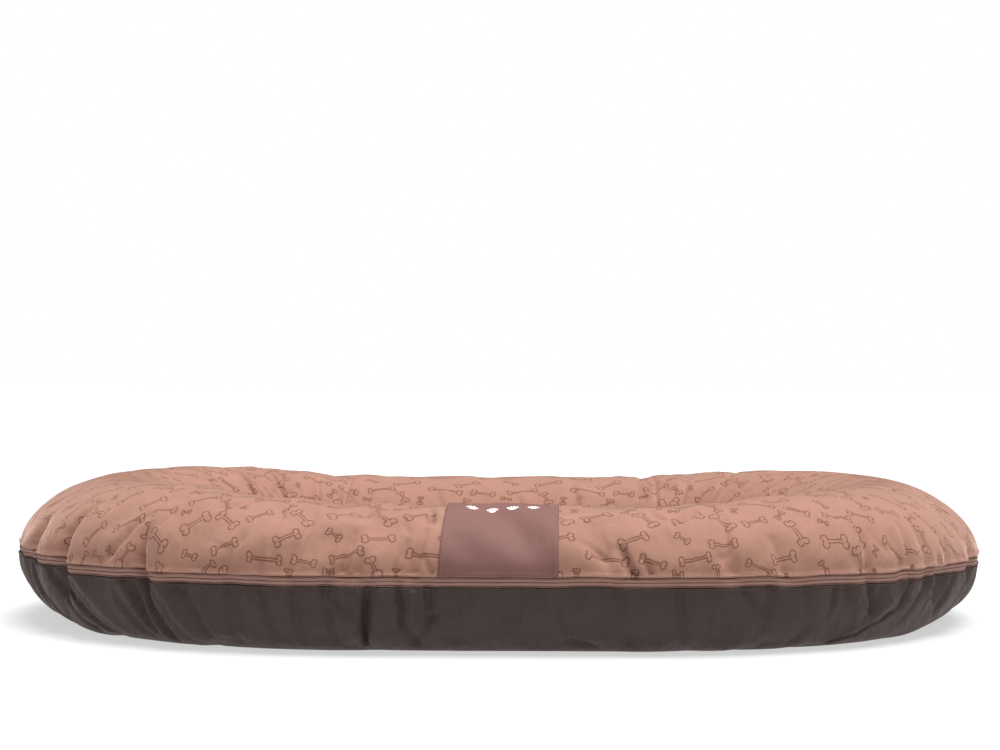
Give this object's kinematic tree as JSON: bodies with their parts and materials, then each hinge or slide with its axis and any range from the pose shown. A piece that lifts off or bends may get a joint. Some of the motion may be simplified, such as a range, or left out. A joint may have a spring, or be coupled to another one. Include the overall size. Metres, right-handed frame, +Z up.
{
  "type": "pet cushion bed",
  "caption": "Oval pet cushion bed: a stuffed rim round a shallow sleeping hollow, in a zipped cover with a printed top and a plain dark base.",
  "frame": {"origin": "on the floor under the middle of the bed, on the underside of the base", "axes": "+X along the length, -Y towards the front with the label, +Z up"},
  "size_m": [1.1998, 0.8865, 0.1663],
  "materials": {
    "printed_cloth": "matt brushed microfibre, dusty pink, with dark line drawings of bones",
    "base_cloth": "dark brown plain weave with a slight sheen",
    "binding_tape": "matt woven tape",
    "label_cloth": "smooth taupe satin weave",
    "insert_cloth": "white non-woven cloth",
    "fibre_filling": "white polyester fibre",
    "zip_tape": "woven tape, brownish pink",
    "zip_coil": "nylon coil",
    "zip_metal": "enamelled die-cast zinc, brown"
  },
  "bodies": {
    "bed": {"rim_cover": "printed_cloth", "centre_cover": "printed_cloth", "base_cover": "base_cloth", "seam_binding": "binding_tape", "label_patch": "label_cloth", "rim_case": "insert_cloth", "rim_filling": "fibre_filling", "centre_case": "insert_cloth", "centre_filling": "fibre_filling", "zip_tape_upper": "zip_tape", "zip_tape_lower": "zip_tape", "zip_coil_upper": "zip_coil", "zip_coil_lower": "zip_coil", "zip_top_stops": "zip_metal", "zip_bottom_stop": "zip_metal"},
    "slider": {"zip_slider": "zip_metal"},
    "puller": {"zip_puller": "zip_metal"}
  },
  "joints": [
    {"name": "zip_run", "type": "slide", "parent": "bed", "child": "slider", "axis": [1, 0, 0], "range_m": [0, 0.28]},
    {"name": "puller_turn", "type": "hinge", "parent": "slider", "child": "puller", "pos_m": [-0.14, 0.4435, 0.082], "axis": [0, 0, 1], "range_deg": [0, 175]}
  ]
}
